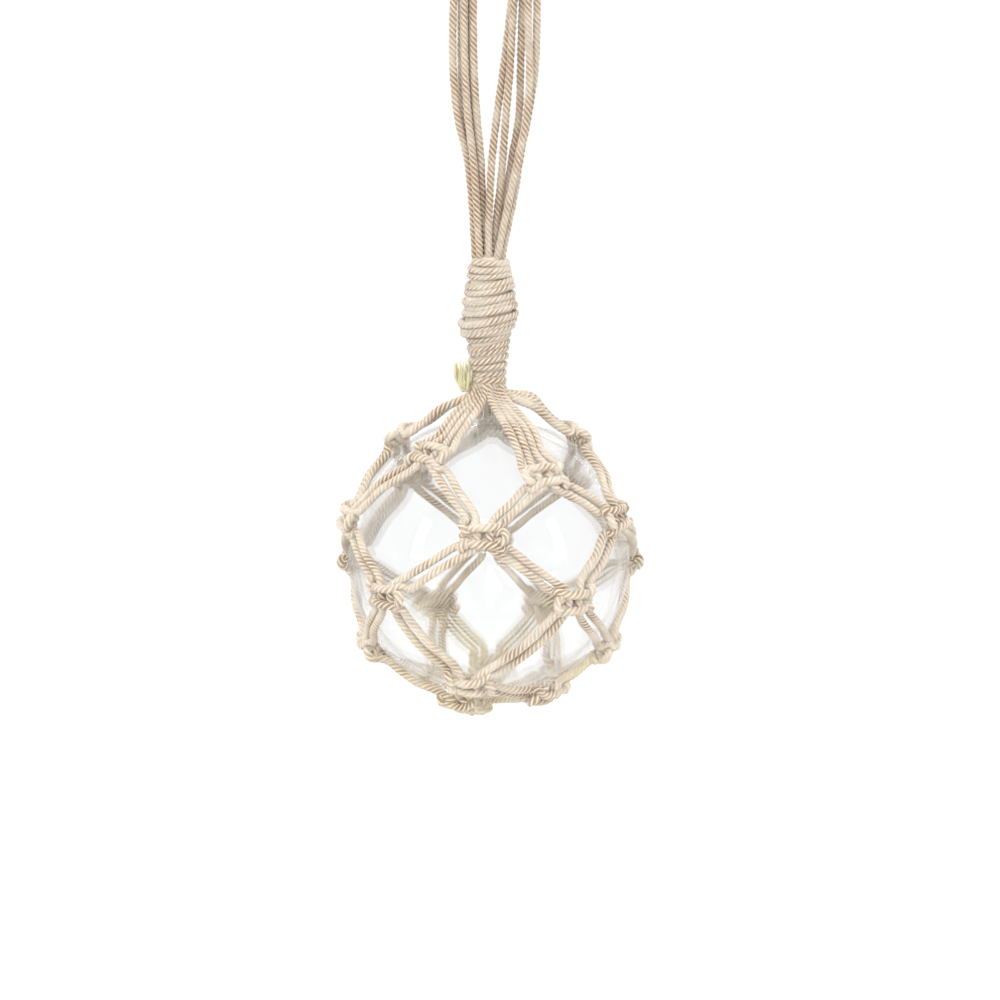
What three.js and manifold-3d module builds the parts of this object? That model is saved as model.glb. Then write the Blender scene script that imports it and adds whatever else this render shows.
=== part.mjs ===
// A clear glass float ball held in a knotted rope net, hung from a bundle of cord loops.
// Millimetres, +Z up. The origin is the point where a hook carries the loops: the middle
// of the underside of their crown. The net hangs straight below it, with its front at -Y.
import * as THREE from "three";
import { mergeVertices } from "three/addons/utils/BufferGeometryUtils.js";
import Module from "manifold-3d";

const wasm = await Module();
wasm.setup();

// Driving dimensions
const BALL_DIAMETER = 100;
const BALL_DETAIL = 5; // subdivisions of the twenty-sided ball
const CORD_DIAMETER = 2.8; // net and hanging loops are one kind of cord
const AIR_GAP = 0.3; // between pieces that touch

const LOOP_DROP = 121; // hook down to the top of the neck whipping
const CROWN_RADIUS = 7.5; // inside of the loops where they bend over the hook
const WHIPPING_HEIGHT = 46.6;
const WHIPPING_TURNS = 18;
const WHIPPING_CORE_RADIUS = 3.9; // the bundle of cords inside the turns
const WHIPPING_WAIST_RADIUS = 7.0; // outside of the turns at both ends
const WHIPPING_BULGE = 3.3; // how far the middle turns stand out past the waist
const WHIPPING_BULGE_PLACE = 0.43; // share of the height, from the top
const NECK_RISE = 10.5; // bottom of the whipping above the top of the ball

const TAIL_LENGTH = 10; // frayed end of the whipping cord
const TAIL_TIP_RADIUS = 2.6;
const TAIL_AZIMUTH = -62;
const TAIL_LEAN = 36; // degrees from upright

const KNOT_HALF_WIDTH = 6.2;
const KNOT_HALF_HEIGHT = 3.3;
const KNOT_THICKNESS = 5.7; // knot's outside above the glass
const KNOT_GROOVE = 1; // between the two bars across the front of a knot
const KNOT_ROUNDING = 1.8; // at both of its ends
const KNOT_SIDE_BEND = 0.8; // how far a knot reaches further to the side of its side bend
const LEG_SPREAD = 3.9; // distance between the two cords of a leg, half way along
const NECK_COLLAR_HEIGHT = 4.2; // packed cords below the whipping, before they part
const NECK_COLLAR_RADIUS = 12; // where they part
const BOTTOM_KNOT_RADIUS = 7.6;
const BOTTOM_KNOT_THICKNESS = 6.2;

const CORD_SIDES = 8; // of a hanging loop's section
const NET_SIDES = 5; // of a net cord's section
const LEG_STEPS = 3; // of a net cord from one knot to the next

// Where the twenty-five knots sit on the ball, as [azimuth, latitude] in degrees. Azimuth 0 is
// the front and grows to the right. The net was pulled on by hand, so no row is quite even.
const KNOT_ROWS = [
  [[-38, 52], [29, 43], [105, 53], [178, 48], [-104, 52]],
  [[-2, 21], [63, 21], [144, 20], [-145, 21], [-76, 18]],
  [[-41, -4], [33, -5], [109, -5], [180, -8], [-112, -6]],
  [[-9, -42], [76, -36], [153, -31], [-154, -31], [-79, -36]],
  [[-24, -65], [42, -56], [112, -62], [178, -62], [-128, -64]],
];

// Distance of the four cords from the middle of a knot where they leave it
const INNER_LANE = CORD_DIAMETER * 0.6;
const OUTER_LANE = CORD_DIAMETER * 1.7;
const INNER_LANE_DROP = CORD_DIAMETER * 0.45; // the inner ones turn aside further from the knot

// Routes of the five hanging loops. Each level is a share of LOOP_DROP below the hook, and
// each leg has one [x, y] for each level. Lane is [crown layer, y over the hook].
const LOOP_LEVELS = [0.1, 0.207, 0.347, 0.48, 0.603, 0.719, 0.81, 0.917, 1];
const LOOP_ROUTES = [
  {
    lane: [1, -1.55],
    left: [[-12.1, -1.5], [-11.6, -1.5], [-12.1, -1.5], [-12, -1.5], [-10.6, -1],
      [-7.4, -0.4], [-6.1, 0], [-5.2, 0], [-4.65, 0]],
    right: [[13.4, -1.5], [16.1, -1.5], [16.4, -1.2], [15.7, -0.8], [13.5, -0.4],
      [10.8, -0.2], [9.2, 0], [6.6, 0], [4.65, 0]],
  },
  {
    lane: [1, 1.55],
    left: [[-11, 1.6], [-9.4, 1.7], [-9.3, 1.8], [-9.3, 2], [-8.8, 2.3],
      [-7.1, 2.7], [-5.5, 3.1], [-4, 2.9], [-3.1, 2.7]],
    right: [[12.1, 1.6], [11.8, 1.5], [11.3, 1.4], [10.9, 1.6], [10.4, 1.8],
      [8.1, 2.2], [6.4, 2.7], [4.6, 2.8], [3.1, 2.7]],
  },
  {
    lane: [0, -3.2],
    left: [[-8.7, -3.2], [-8.4, -2.7], [-8.3, -2.1], [-8, -2], [-7, -2.4],
      [-5.3, -3], [-4.5, -3.1], [-3.7, -2.9], [-3.1, -2.7]],
    right: [[9.9, -3.4], [13.2, -3.7], [13.4, -3.7], [14, -3.9], [12.9, -3.6],
      [10.1, -3.4], [7.8, -3], [5, -2.9], [3.1, -2.7]],
  },
  {
    lane: [0, 0],
    left: [[-8.2, 0], [-5.4, -0.5], [-5.2, -1.1], [-4.9, -1.4], [-4, -1.2],
      [-2.7, -0.5], [-2.3, -0.1], [-1.9, 0], [-1.55, 0]],
    right: [[8.9, -0.1], [9.1, -0.7], [8.1, -1], [7.2, -1.2], [5.9, -1.4],
      [4.9, -0.9], [3.9, -0.2], [2.4, 0], [1.55, 0]],
  },
  {
    lane: [0, 3.2],
    left: [[-8.2, 3.3], [-6, 2.9], [-6, 2.2], [-6, 1.9], [-5.5, 2.1],
      [-3.9, 2.8], [-2.4, 3.1], [-0.9, 2.9], [0, 2.7]],
    right: [[8.7, 3.3], [8.7, 2.8], [6.9, 2.4], [4.9, 1.4], [2.8, 0],
      [1.2, -1.4], [0.5, -2.3], [0, -2.8], [0, -2.7]],
  },
];
const CROWN_LAYER = 1.3 * CORD_DIAMETER; // an outer cord over an inner one
const CROWN_STEPS = 6; // over the half circle of the crown
const LOOP_STEPS = 40;

// Places worked out from them
const ballRadius = BALL_DIAMETER / 2;
const cordRadius = CORD_DIAMETER / 2;
const whippingTop = -LOOP_DROP;
const whippingBottom = whippingTop - WHIPPING_HEIGHT;
const ballTop = whippingBottom - NECK_RISE;
const ballCentre = new THREE.Vector3(0, 0, ballTop - ballRadius);

const radians = THREE.MathUtils.degToRad;

// A mesh's geometry as a solid that can be joined and cut.
function solidOf(geometry) {
  const bare = geometry.clone();
  bare.deleteAttribute("normal");
  bare.deleteAttribute("uv");
  const merged = mergeVertices(bare, 1e-4);
  return new wasm.Manifold(
    new wasm.Mesh({
      numProp: 3,
      vertProperties: merged.attributes.position.array,
      triVerts: new Uint32Array(merged.index.array),
    }),
  );
}

// A joined or cut solid as a geometry again.
function geometryOf(solid) {
  const { vertProperties, triVerts } = solid.getMesh();
  const geometry = new THREE.BufferGeometry();
  geometry.setAttribute("position", new THREE.BufferAttribute(vertProperties, 3));
  geometry.setIndex(new THREE.BufferAttribute(triVerts, 1));
  geometry.computeVertexNormals();
  return geometry;
}

// All the geometries as one solid. Hollows sealed inside it are filled.
function joined(geometries) {
  const whole = geometries.map(solidOf).reduce((sum, next) => sum.add(next));
  return geometryOf(whole.decompose().reduce((a, b) => (b.volume() > a.volume() ? b : a)));
}

// A cord's section, with its corners on the round of the cord.
function cordSection(corner, sides) {
  const turn = (2 * Math.PI) / sides;
  const points = [];
  for (let i = 0; i < sides; i++) {
    points.push(new THREE.Vector2(corner * Math.cos(i * turn), corner * Math.sin(i * turn)));
  }
  return new THREE.Shape(points);
}

// A tube that follows a smooth curve through the points.
function cordAlong(points, sides, steps, radius = cordRadius) {
  const extrudePath = new THREE.CatmullRomCurve3(points, false, "centripetal");
  return new THREE.ExtrudeGeometry(cordSection(radius, sides), { steps, extrudePath });
}

// The point over the ball at an azimuth and latitude, that high above the glass.
function overBall(azimuth, latitude, height) {
  const out = ballRadius + height;
  const around = out * Math.cos(radians(latitude));
  return new THREE.Vector3(
    around * Math.sin(radians(azimuth)),
    -around * Math.cos(radians(azimuth)),
    out * Math.sin(radians(latitude)),
  ).add(ballCentre);
}

// A point given in a knot's own sizes: across to the right, down, and above the glass.
function inKnot([azimuth, latitude], across, down, height) {
  const out = overBall(azimuth, latitude, 0).sub(ballCentre).normalize();
  const right = new THREE.Vector3(Math.cos(radians(azimuth)), Math.sin(radians(azimuth)), 0);
  const below = new THREE.Vector3().crossVectors(right, out);
  return out
    .clone()
    .multiplyScalar(ballRadius)
    .addScaledVector(right, across)
    .addScaledVector(below, down)
    .normalize()
    .multiplyScalar(ballRadius + height)
    .add(ballCentre);
}

// A flat step of a cord cuts a little into the curve that it follows over the ball.
const longestStep = (BALL_DIAMETER * 0.36) / LEG_STEPS;
const stepCut = ballRadius * (1 - Math.cos(longestStep / ballRadius / 2));
const cordHeight = cordRadius + 2 * AIR_GAP + stepCut;

// A knot lies in a row with others, and its cords run to two knots of the next row.
const knotsInRow = KNOT_ROWS[0].length;
const toTheLeft = (row, i) => (row % 2 === 0 ? (i + knotsInRow - 1) % knotsInRow : i);
const toTheRight = (row, i) => (row % 2 === 0 ? i : (i + 1) % knotsInRow);

// Two points of a cord where it runs into a knot from below or above: outside it and inside.
function knotEntry(place, lane, below) {
  const down = below ? 1 : -1;
  const further = Math.abs(lane) < OUTER_LANE ? INNER_LANE_DROP : 0;
  return [
    inKnot(place, lane, down * (KNOT_HALF_HEIGHT + cordRadius * 0.6 + further), cordHeight),
    inKnot(place, lane * 0.85, down * KNOT_HALF_HEIGHT * 0.45, cordHeight * 1.15),
  ];
}

// A cord of a leg between a knot and one in the row below. Side is -1 for the left one.
function legCord(upper, upperLane, lower, lowerLane, side) {
  const [outUpper, inUpper] = knotEntry(upper, upperLane, true);
  const [outLower, inLower] = knotEntry(lower, lowerLane, false);
  const a = outUpper.clone().sub(ballCentre);
  const b = outLower.clone().sub(ballCentre);
  const rightward = new THREE.Vector3().crossVectors(a, b).normalize();
  const pairMiddle = overBall(...upper, 0).add(overBall(...lower, 0)).sub(ballCentre);
  const middle = pairMiddle
    .sub(ballCentre)
    .normalize()
    .multiplyScalar(ballRadius + cordHeight)
    .addScaledVector(rightward, (side * LEG_SPREAD) / 2)
    .add(ballCentre);
  return cordAlong([inUpper, outUpper, middle, outLower, inLower], NET_SIDES, LEG_STEPS);
}

// The two cords from a knot to the next row's knot on one side of it.
function leg(upper, lower, toLeft) {
  const [outer, inner] = toLeft ? [-OUTER_LANE, -INNER_LANE] : [INNER_LANE, OUTER_LANE];
  const [left, right] = toLeft ? [INNER_LANE, OUTER_LANE] : [-OUTER_LANE, -INNER_LANE];
  return [legCord(upper, outer, lower, left, -1), legCord(upper, inner, lower, right, 1)];
}

const lanes = [-OUTER_LANE, -INNER_LANE, INNER_LANE, OUTER_LANE];

// The four cords from the neck to a knot of the top row.
function neckCords(knot) {
  return lanes.map((lane, i) => {
    const azimuth = radians(knot[0] + (i - 1.5) * 17);
    const around = NECK_COLLAR_RADIUS - 1.5 * cordRadius;
    const start = new THREE.Vector3(
      around * Math.sin(azimuth),
      -around * Math.cos(azimuth),
      whippingBottom - NECK_COLLAR_HEIGHT + cordRadius,
    );
    const [outside, inside] = knotEntry(knot, lane, false);
    return cordAlong([start, outside, inside], NET_SIDES, LEG_STEPS - 1);
  });
}

// The four cords from a knot of the lowest row to the knot under the ball.
function bottomCords(knot) {
  return lanes.map((lane, i) => {
    const [outside, inside] = knotEntry(knot, lane, true);
    const end = overBall(knot[0] + (i - 1.5) * 17, -82, cordHeight);
    return cordAlong([inside, outside, end], NET_SIDES, LEG_STEPS - 1);
  });
}

// A square knot: two bars of cord across its front, rounded ends, and a flat back.
function knotBody(place) {
  const high = KNOT_HALF_HEIGHT;
  const thick = KNOT_THICKNESS;
  const profile = [
    [-0.9 * high, AIR_GAP],
    [-high, 0.6 * thick],
    [-0.5 * high, thick],
    [0, thick - KNOT_GROOVE],
    [0.5 * high, thick],
    [high, 0.6 * thick],
    [0.9 * high, AIR_GAP],
  ].map(([x, y]) => new THREE.Vector2(x, y));
  const depth = 2 * (KNOT_HALF_WIDTH - KNOT_ROUNDING);
  const out = overBall(...place, 0).sub(ballCentre).normalize();
  const right = new THREE.Vector3(
    Math.cos(radians(place[0])),
    Math.sin(radians(place[0])),
    0,
  );
  const below = new THREE.Vector3().crossVectors(right, out);
  const across = place[0] > 0 ? -KNOT_SIDE_BEND : KNOT_SIDE_BEND;
  return new THREE.ExtrudeGeometry(new THREE.Shape(profile), {
    depth,
    bevelThickness: KNOT_ROUNDING,
    bevelSize: KNOT_ROUNDING * 0.7,
    bevelOffset: -KNOT_ROUNDING * 0.7,
    bevelSegments: 1,
  })
    .translate(0, 0, -depth / 2)
    .applyMatrix4(new THREE.Matrix4().makeBasis(below, out, right.clone().negate()))
    .translate(...out.multiplyScalar(ballRadius).addScaledVector(right, across).toArray())
    .translate(...ballCentre.toArray());
}

// The flat round knot under the ball that all twenty strands run into.
function bottomKnot() {
  const top = -ballRadius - AIR_GAP;
  const low = -ballRadius - BOTTOM_KNOT_THICKNESS;
  const wide = BOTTOM_KNOT_RADIUS;
  const profile = [
    [0, low],
    [0.45 * wide, low],
    [0.85 * wide, 0.3 * top + 0.7 * low],
    [wide, 0.65 * top + 0.35 * low],
    [0.8 * wide, top],
    [0, top],
  ].map(([x, y]) => new THREE.Vector2(x, y));
  return new THREE.LatheGeometry(profile, 12)
    .rotateX(Math.PI / 2)
    .translate(0, 0, ballCentre.z);
}

// The bundle of cords that the whipping is wound around, and the collar below it.
function neckBundle() {
  const low = whippingBottom - NECK_COLLAR_HEIGHT;
  const profile = [
    [0, low + cordRadius],
    [NECK_COLLAR_RADIUS, low],
    [WHIPPING_WAIST_RADIUS, whippingBottom - AIR_GAP],
    [WHIPPING_CORE_RADIUS, whippingBottom - AIR_GAP],
    [WHIPPING_CORE_RADIUS, whippingTop],
    [0, whippingTop],
  ].map(([x, y]) => new THREE.Vector2(x, y));
  return new THREE.LatheGeometry(profile, 12).rotateX(Math.PI / 2);
}

function ropeNet() {
  const parts = [neckBundle(), bottomKnot()];
  KNOT_ROWS.forEach((row, r) => {
    row.forEach((knot, i) => {
      parts.push(knotBody(knot));
      if (r === 0) parts.push(...neckCords(knot));
      if (r === KNOT_ROWS.length - 1) {
        parts.push(...bottomCords(knot));
      } else {
        parts.push(...leg(knot, KNOT_ROWS[r + 1][toTheLeft(r, i)], true));
        parts.push(...leg(knot, KNOT_ROWS[r + 1][toTheRight(r, i)], false));
      }
    });
  });
  return joined(parts);
}

// How far a turn of the whipping stands out at a share of its height from the top.
function whippingRadius(share) {
  const away = (share - WHIPPING_BULGE_PLACE) / 0.24;
  return WHIPPING_WAIST_RADIUS + WHIPPING_BULGE * Math.exp(-away * away);
}

// Turns of cord wound round the neck, with a rounded back and a groove for each turn.
function neckWhipping() {
  const bore = WHIPPING_CORE_RADIUS + AIR_GAP;
  const pitch = WHIPPING_HEIGHT / WHIPPING_TURNS;
  const profile = [new THREE.Vector2(bore, whippingBottom)];
  for (let turn = WHIPPING_TURNS - 1; turn >= 0; turn--) {
    const radius = whippingRadius((turn + 0.5) / WHIPPING_TURNS);
    const middle = whippingTop - (turn + 0.5) * pitch;
    profile.push(new THREE.Vector2(radius - 0.25 * pitch, middle - 0.5 * pitch));
    profile.push(new THREE.Vector2(radius, middle));
  }
  profile.push(new THREE.Vector2(whippingRadius(0) - 0.25 * pitch, whippingTop));
  profile.push(new THREE.Vector2(bore, whippingTop));
  profile.push(profile[0].clone());
  const turns = new THREE.LatheGeometry(profile, 12).rotateX(Math.PI / 2);
  return joined([turns, whippingTail()]);
}

// The cut end of the whipping cord, spread into a tuft.
function whippingTail() {
  return new THREE.CylinderGeometry(TAIL_TIP_RADIUS, cordRadius, TAIL_LENGTH, 7)
    .translate(0, TAIL_LENGTH / 2, 0)
    .rotateX(Math.PI / 2)
    .rotateX(radians(TAIL_LEAN))
    .rotateZ(radians(TAIL_AZIMUTH))
    .translate(
      (WHIPPING_WAIST_RADIUS - cordRadius) * Math.sin(radians(TAIL_AZIMUTH)),
      -(WHIPPING_WAIST_RADIUS - cordRadius) * Math.cos(radians(TAIL_AZIMUTH)),
      whippingBottom + cordRadius,
    );
}

// One cord from the top of the whipping, over the hook and back.
function hangingLoop({ lane: [layer, depth], left, right }) {
  const crown = CROWN_RADIUS + cordRadius + layer * CROWN_LAYER;
  const level = (share) => -(share * LOOP_DROP) + (share === 1 ? 2 * AIR_GAP : 0);
  const leg = (side) =>
    side.map(([x, y], i) => new THREE.Vector3(x, y, level(LOOP_LEVELS[i])));
  const over = [];
  for (let i = 0; i <= CROWN_STEPS; i++) {
    const angle = Math.PI * (1 - i / CROWN_STEPS);
    over.push(
      new THREE.Vector3(
        crown * Math.cos(angle),
        depth,
        -CROWN_RADIUS + crown * Math.sin(angle),
      ),
    );
  }
  const points = [...leg(left).reverse(), ...over, ...leg(right)];
  return cordAlong(points, CORD_SIDES, LOOP_STEPS);
}

const glass = new THREE.MeshStandardMaterial({
  color: 0xf2f6f5,
  roughness: 0.05,
  metalness: 0,
  transparent: true,
  opacity: 0.35,
});
const cotton = new THREE.MeshStandardMaterial({ color: 0xdccbb0, roughness: 0.95, metalness: 0 });
const paleCotton = new THREE.MeshStandardMaterial({
  color: 0xe2d6c2,
  roughness: 0.95,
  metalness: 0,
});

const netFloat = new THREE.Group();

function place(name, geometry, material) {
  const mesh = new THREE.Mesh(geometry, material);
  mesh.name = name;
  netFloat.add(mesh);
  return mesh;
}

place("glass_ball", new THREE.IcosahedronGeometry(ballRadius, BALL_DETAIL), glass).position.copy(
  ballCentre,
);
place("rope_net", ropeNet(), cotton);
place("neck_whipping", neckWhipping(), paleCotton);
LOOP_ROUTES.forEach((route, i) => place(`hanging_loop_${i + 1}`, hangingLoop(route), cotton));

export default netFloat;
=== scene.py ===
"""A clear glass float ball in a knotted rope net, with a wrapped neck and hanging loops."""

import math
import random

import bpy
import numpy as np
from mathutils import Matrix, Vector


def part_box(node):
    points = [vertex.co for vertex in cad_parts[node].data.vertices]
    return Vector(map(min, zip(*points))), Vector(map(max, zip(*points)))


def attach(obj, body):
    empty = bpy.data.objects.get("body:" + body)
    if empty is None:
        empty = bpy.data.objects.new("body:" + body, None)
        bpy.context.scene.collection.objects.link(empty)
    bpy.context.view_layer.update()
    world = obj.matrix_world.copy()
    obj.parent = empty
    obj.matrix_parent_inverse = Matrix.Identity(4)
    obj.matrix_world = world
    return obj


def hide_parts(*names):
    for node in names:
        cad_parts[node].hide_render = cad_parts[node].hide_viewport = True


bl_info = {
    "name": "Net Float",
    "version": (1, 0, 0),
    "blender": (4, 5, 0),
    "location": "3D View > Sidebar > Net Float",
    "description": "A glass float ball in a knotted rope net, hung from cord loops",
    "category": "Object",
}

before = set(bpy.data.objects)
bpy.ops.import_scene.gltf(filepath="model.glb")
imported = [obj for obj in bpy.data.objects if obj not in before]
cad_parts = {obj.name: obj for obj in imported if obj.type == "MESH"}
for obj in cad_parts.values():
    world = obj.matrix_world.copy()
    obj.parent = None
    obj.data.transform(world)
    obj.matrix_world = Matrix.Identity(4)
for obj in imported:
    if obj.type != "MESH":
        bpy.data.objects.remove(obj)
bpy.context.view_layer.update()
ball_low, ball_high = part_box("glass_ball")
whipping_low, whipping_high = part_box("neck_whipping")
ball_centre = np.array((ball_low + ball_high) / 2)

# Where the knots sit on the ball, as azimuth from the front to the right, and latitude
KNOT_ROWS = [
    [(-38, 52), (29, 43), (105, 53), (178, 48), (-104, 52)],
    [(-2, 21), (63, 21), (144, 20), (-145, 21), (-76, 18)],
    [(-41, -4), (33, -5), (109, -5), (180, -8), (-112, -6)],
    [(-9, -42), (76, -36), (153, -31), (-154, -31), (-79, -36)],
    [(-24, -65), (42, -56), (112, -62), (178, -62), (-128, -64)],
]
# How far the cords of each neck leg bow out from a straight line, in metres
NECK_BOWS = [0.0004, 0.0006, 0.0042, 0.0012, 0.0016]

# A square knot in cord diameters: across, up and above the glass. Its side bend is on the left.
BAR_CORD = [
    (-1.5, 1.25, 0.85), (-1.15, 1.0, 1.15), (-0.6, 0.85, 1.5), (0.6, 0.78, 1.55),
    (1.35, 0.6, 1.1), (1.72, 0.0, 0.8), (1.35, -0.55, 1.1), (0.6, -0.78, 1.55), (-0.6, -0.85, 1.5),
    (-1.15, -1.0, 1.15), (-1.5, -1.25, 0.85),
]
BEHIND_CORD = [
    (1.8, 1.2, 1.1), (1.5, 0.7, 1.55), (1.05, 0.25, 0.75), (0.5, 0.3, 0.5),
    (-0.5, 0.4, 0.5), (-1.1, 0.4, 0.95), (-1.65, 0.5, 1.55), (-1.8, 0.0, 1.7), (-1.6, -0.5, 1.6),
    (-1.0, -0.35, 0.75), (-0.5, -0.35, 0.5), (0.5, -0.3, 0.5), (1.05, -0.3, 0.75),
    (1.5, -0.7, 1.5), (1.8, -1.2, 1.05),
]
FILLER_CORD = [(0.65, 1.1, 0.9), (0.5, 0.0, 1.0), (0.65, -1.1, 0.9)]

# The hanging loops, as in the CAD source: how deep each level lies, and each leg across and
# to the back there. Crown is the radius over the hook and the place to the back.
LOOP_LEVELS = [0.0121, 0.02505, 0.04199, 0.05808, 0.07296, 0.087, 0.09801, 0.11096, 0.121]
CROWN_INSIDE = 0.0075
LOOP_ROUTES = [
    {
        "crown": (0.01254, -0.00155),
        "left": [
            (-0.0121, -0.0015), (-0.0116, -0.0015), (-0.0121, -0.0015), (-0.012, -0.0015),
            (-0.0106, -0.001), (-0.0074, -0.0004), (-0.0061, 0), (-0.0052, 0), (-0.00465, 0),
        ],
        "right": [
            (0.0134, -0.0015), (0.0161, -0.0015), (0.0164, -0.0012), (0.0157, -0.0008),
            (0.0135, -0.0004), (0.0108, -0.0002), (0.0092, 0), (0.0066, 0), (0.00465, 0),
        ],
    },
    {
        "crown": (0.01254, 0.00155),
        "left": [
            (-0.011, 0.0016), (-0.0094, 0.0017), (-0.0093, 0.0018), (-0.0093, 0.002),
            (-0.0088, 0.0023), (-0.0071, 0.0027), (-0.0055, 0.0031), (-0.004, 0.0029),
            (-0.0031, 0.0027),
        ],
        "right": [
            (0.0121, 0.0016), (0.0118, 0.0015), (0.0113, 0.0014), (0.0109, 0.0016),
            (0.0104, 0.0018), (0.0081, 0.0022), (0.0064, 0.0027), (0.0046, 0.0028),
            (0.0031, 0.0027),
        ],
    },
    {
        "crown": (0.0089, -0.0032),
        "left": [
            (-0.0087, -0.0032), (-0.0084, -0.0027), (-0.0083, -0.0021), (-0.008, -0.002),
            (-0.007, -0.0024), (-0.0053, -0.003), (-0.0045, -0.0031), (-0.0037, -0.0029),
            (-0.0031, -0.0027),
        ],
        "right": [
            (0.0099, -0.0034), (0.0132, -0.0037), (0.0134, -0.0037), (0.014, -0.0039),
            (0.0129, -0.0036), (0.0101, -0.0034), (0.0078, -0.003), (0.005, -0.0029),
            (0.0031, -0.0027),
        ],
    },
    {
        "crown": (0.0089, 0),
        "left": [
            (-0.0082, 0), (-0.0054, -0.0005), (-0.0052, -0.0011), (-0.0049, -0.0014),
            (-0.004, -0.0012), (-0.0027, -0.0005), (-0.0023, -0.0001), (-0.0019, 0),
            (-0.00155, 0),
        ],
        "right": [
            (0.0089, -0.0001), (0.0091, -0.0007), (0.0081, -0.001), (0.0072, -0.0012),
            (0.0059, -0.0014), (0.0049, -0.0009), (0.0039, -0.0002), (0.0024, 0), (0.00155, 0),
        ],
    },
    {
        "crown": (0.0089, 0.0032),
        "left": [
            (-0.0082, 0.0033), (-0.006, 0.0029), (-0.006, 0.0022), (-0.006, 0.0019),
            (-0.0055, 0.0021), (-0.0039, 0.0028), (-0.0024, 0.0031), (-0.0009, 0.0029),
            (0, 0.0027),
        ],
        "right": [
            (0.0087, 0.0033), (0.0087, 0.0028), (0.0069, 0.0024), (0.0049, 0.0014), (0.0028, 0),
            (0.0012, -0.0014), (0.0005, -0.0023), (0, -0.0028), (0, -0.0027),
        ],
    },
]

# How finely the cords are made: the distance between rings, and the points round a cord
NET_STEP, WHIPPING_STEP, LOOP_STEP = 0.0009, 0.0007, 0.0006
NET_SIDES, CORD_SIDES = 12, 16
PLIES = 4
# A cord's thickness wavers by this share of it, with this many radians for each metre
WAVER, WAVER_RATE = 0.035, 700

# Above 1, a ply is rounder and the groove between two plies is sharper
GROOVE_SHAPE = 1.5
# A cord's end: how far it stands out, as a share of the radius, and how far its tip is mixed
# toward the grooves' darker colour
CAP_HEIGHT, CAP_DEPTH = 0.35, 0.4

# How strongly the grooves between the plies are darkened: painted shade, with some dirt
NET_SHADE_AND_DIRT, WHIPPING_SHADE_AND_DIRT, LOOP_SHADE_AND_DIRT = 1.1, 1.05, 1.35

# Seeds of the random draws
SLACK_SEED, NET_SEED, TURNS_SEED, WHIPPING_SEED, TUFT_SEED, LOOP_SEED = 11, 3, 5, 8, 21, 30

# Old yellow stains on the net: middle, how far it spreads, and how strong it is
STAINS = [
    ((-0.032, -0.034, -0.266), 0.015, 1.0),
    ((-0.018, -0.030, -0.274), 0.010, 0.7),
    ((-0.005, -0.008, -0.283), 0.012, 0.8),
    ((-0.012, 0.030, -0.268), 0.016, 0.9),
    ((-0.008, -0.005, -0.168), 0.004, 0.5),
    ((0.034, 0.030, -0.262), 0.014, 0.6),
    ((0.033, -0.020, -0.262), 0.007, 0.6),
]

# The frayed end of the whipping: where it starts and ends above the whipping's foot, in metres
TUFT_ROOT = (-0.0087, -0.0034, 0.0004)
TUFT_TIP = (-0.0092, -0.0040, 0.0100)
TUFT_FIBRES, TUFT_FIBRE_RADIUS = 64, 0.00022

# Loose fibres: thickness, least and greatest length, and how far they slant and stand off
STRAY_FIBRE_RADIUS = 0.00006
FIBRE_LENGTHS, FIBRE_SLANT, FIBRE_RISES = (0.0009, 0.0026), 0.8, (0.25, 0.8)

# Inside the neck: degrees between two cords of a leg, and how far the inner two and the outer
# two cords are from its axis
NECK_FAN, INNER_DEPTH, OUTER_DEPTH = 17, 0.0031, 0.0043
# Under the ball: degrees between two cords, and where they are gathered beside its middle
GATHER_FAN, GATHER_PLACE = 15, (-0.0035, -0.0022)
# How high a knot's middle is above the glass, and how far from it the cord is swollen
KNOT_HEIGHT, KNOT_REACH = 0.0025, 0.0045

# The whipping: where its bulge is and how far it reaches, as shares of the height
BULGE_MIDDLE, BULGE_REACH = 0.43, 0.24
# How far a turn strays outward and upward, where the first one starts, and how soon the turns
# lean in full: after one part in this many
TURN_STRAY, TURN_RISE = 0.0009, 0.0008
FIRST_TURN, LEVEL_PART = math.radians(-60), 5
# Where the whipping's other end comes out, as a share of its cord
CUT_END_PLACE = 0.44

# The area lights: place, width, height, and share of the key light's power
LIGHTS = [
    ((-0.25, -1.05, 0.4), 0.6, 0.6, 1.0),
    ((-0.95, -0.5, 0.15), 0.12, 0.6, 0.2),
    ((0.95, -0.5, 0.15), 0.12, 0.6, 0.25),
    ((0.1, 0.9, 0.4), 0.9, 0.9, 0.35),
]
# Where the camera looks, beside the ball's middle: to the right, and up in the picture
VIEW_SHIFT_RIGHT, VIEW_SHIFT_UP = 0.0039, 0.0199


class GlassSettings(bpy.types.PropertyGroup):
    """Sizes and tint of the glass ball."""

    diameter: bpy.props.FloatProperty(
        name="Diameter", description="Outside of the ball",
        default=ball_high.x - ball_low.x, unit="LENGTH",
    )
    wall: bpy.props.FloatProperty(
        name="Wall", description="Thickness of the blown glass", default=0.0025, unit="LENGTH"
    )
    tint: bpy.props.FloatVectorProperty(
        name="Tint", description="Colour of the glass",
        default=(0.88, 0.89, 0.89), size=3, subtype="COLOR",
    )


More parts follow.
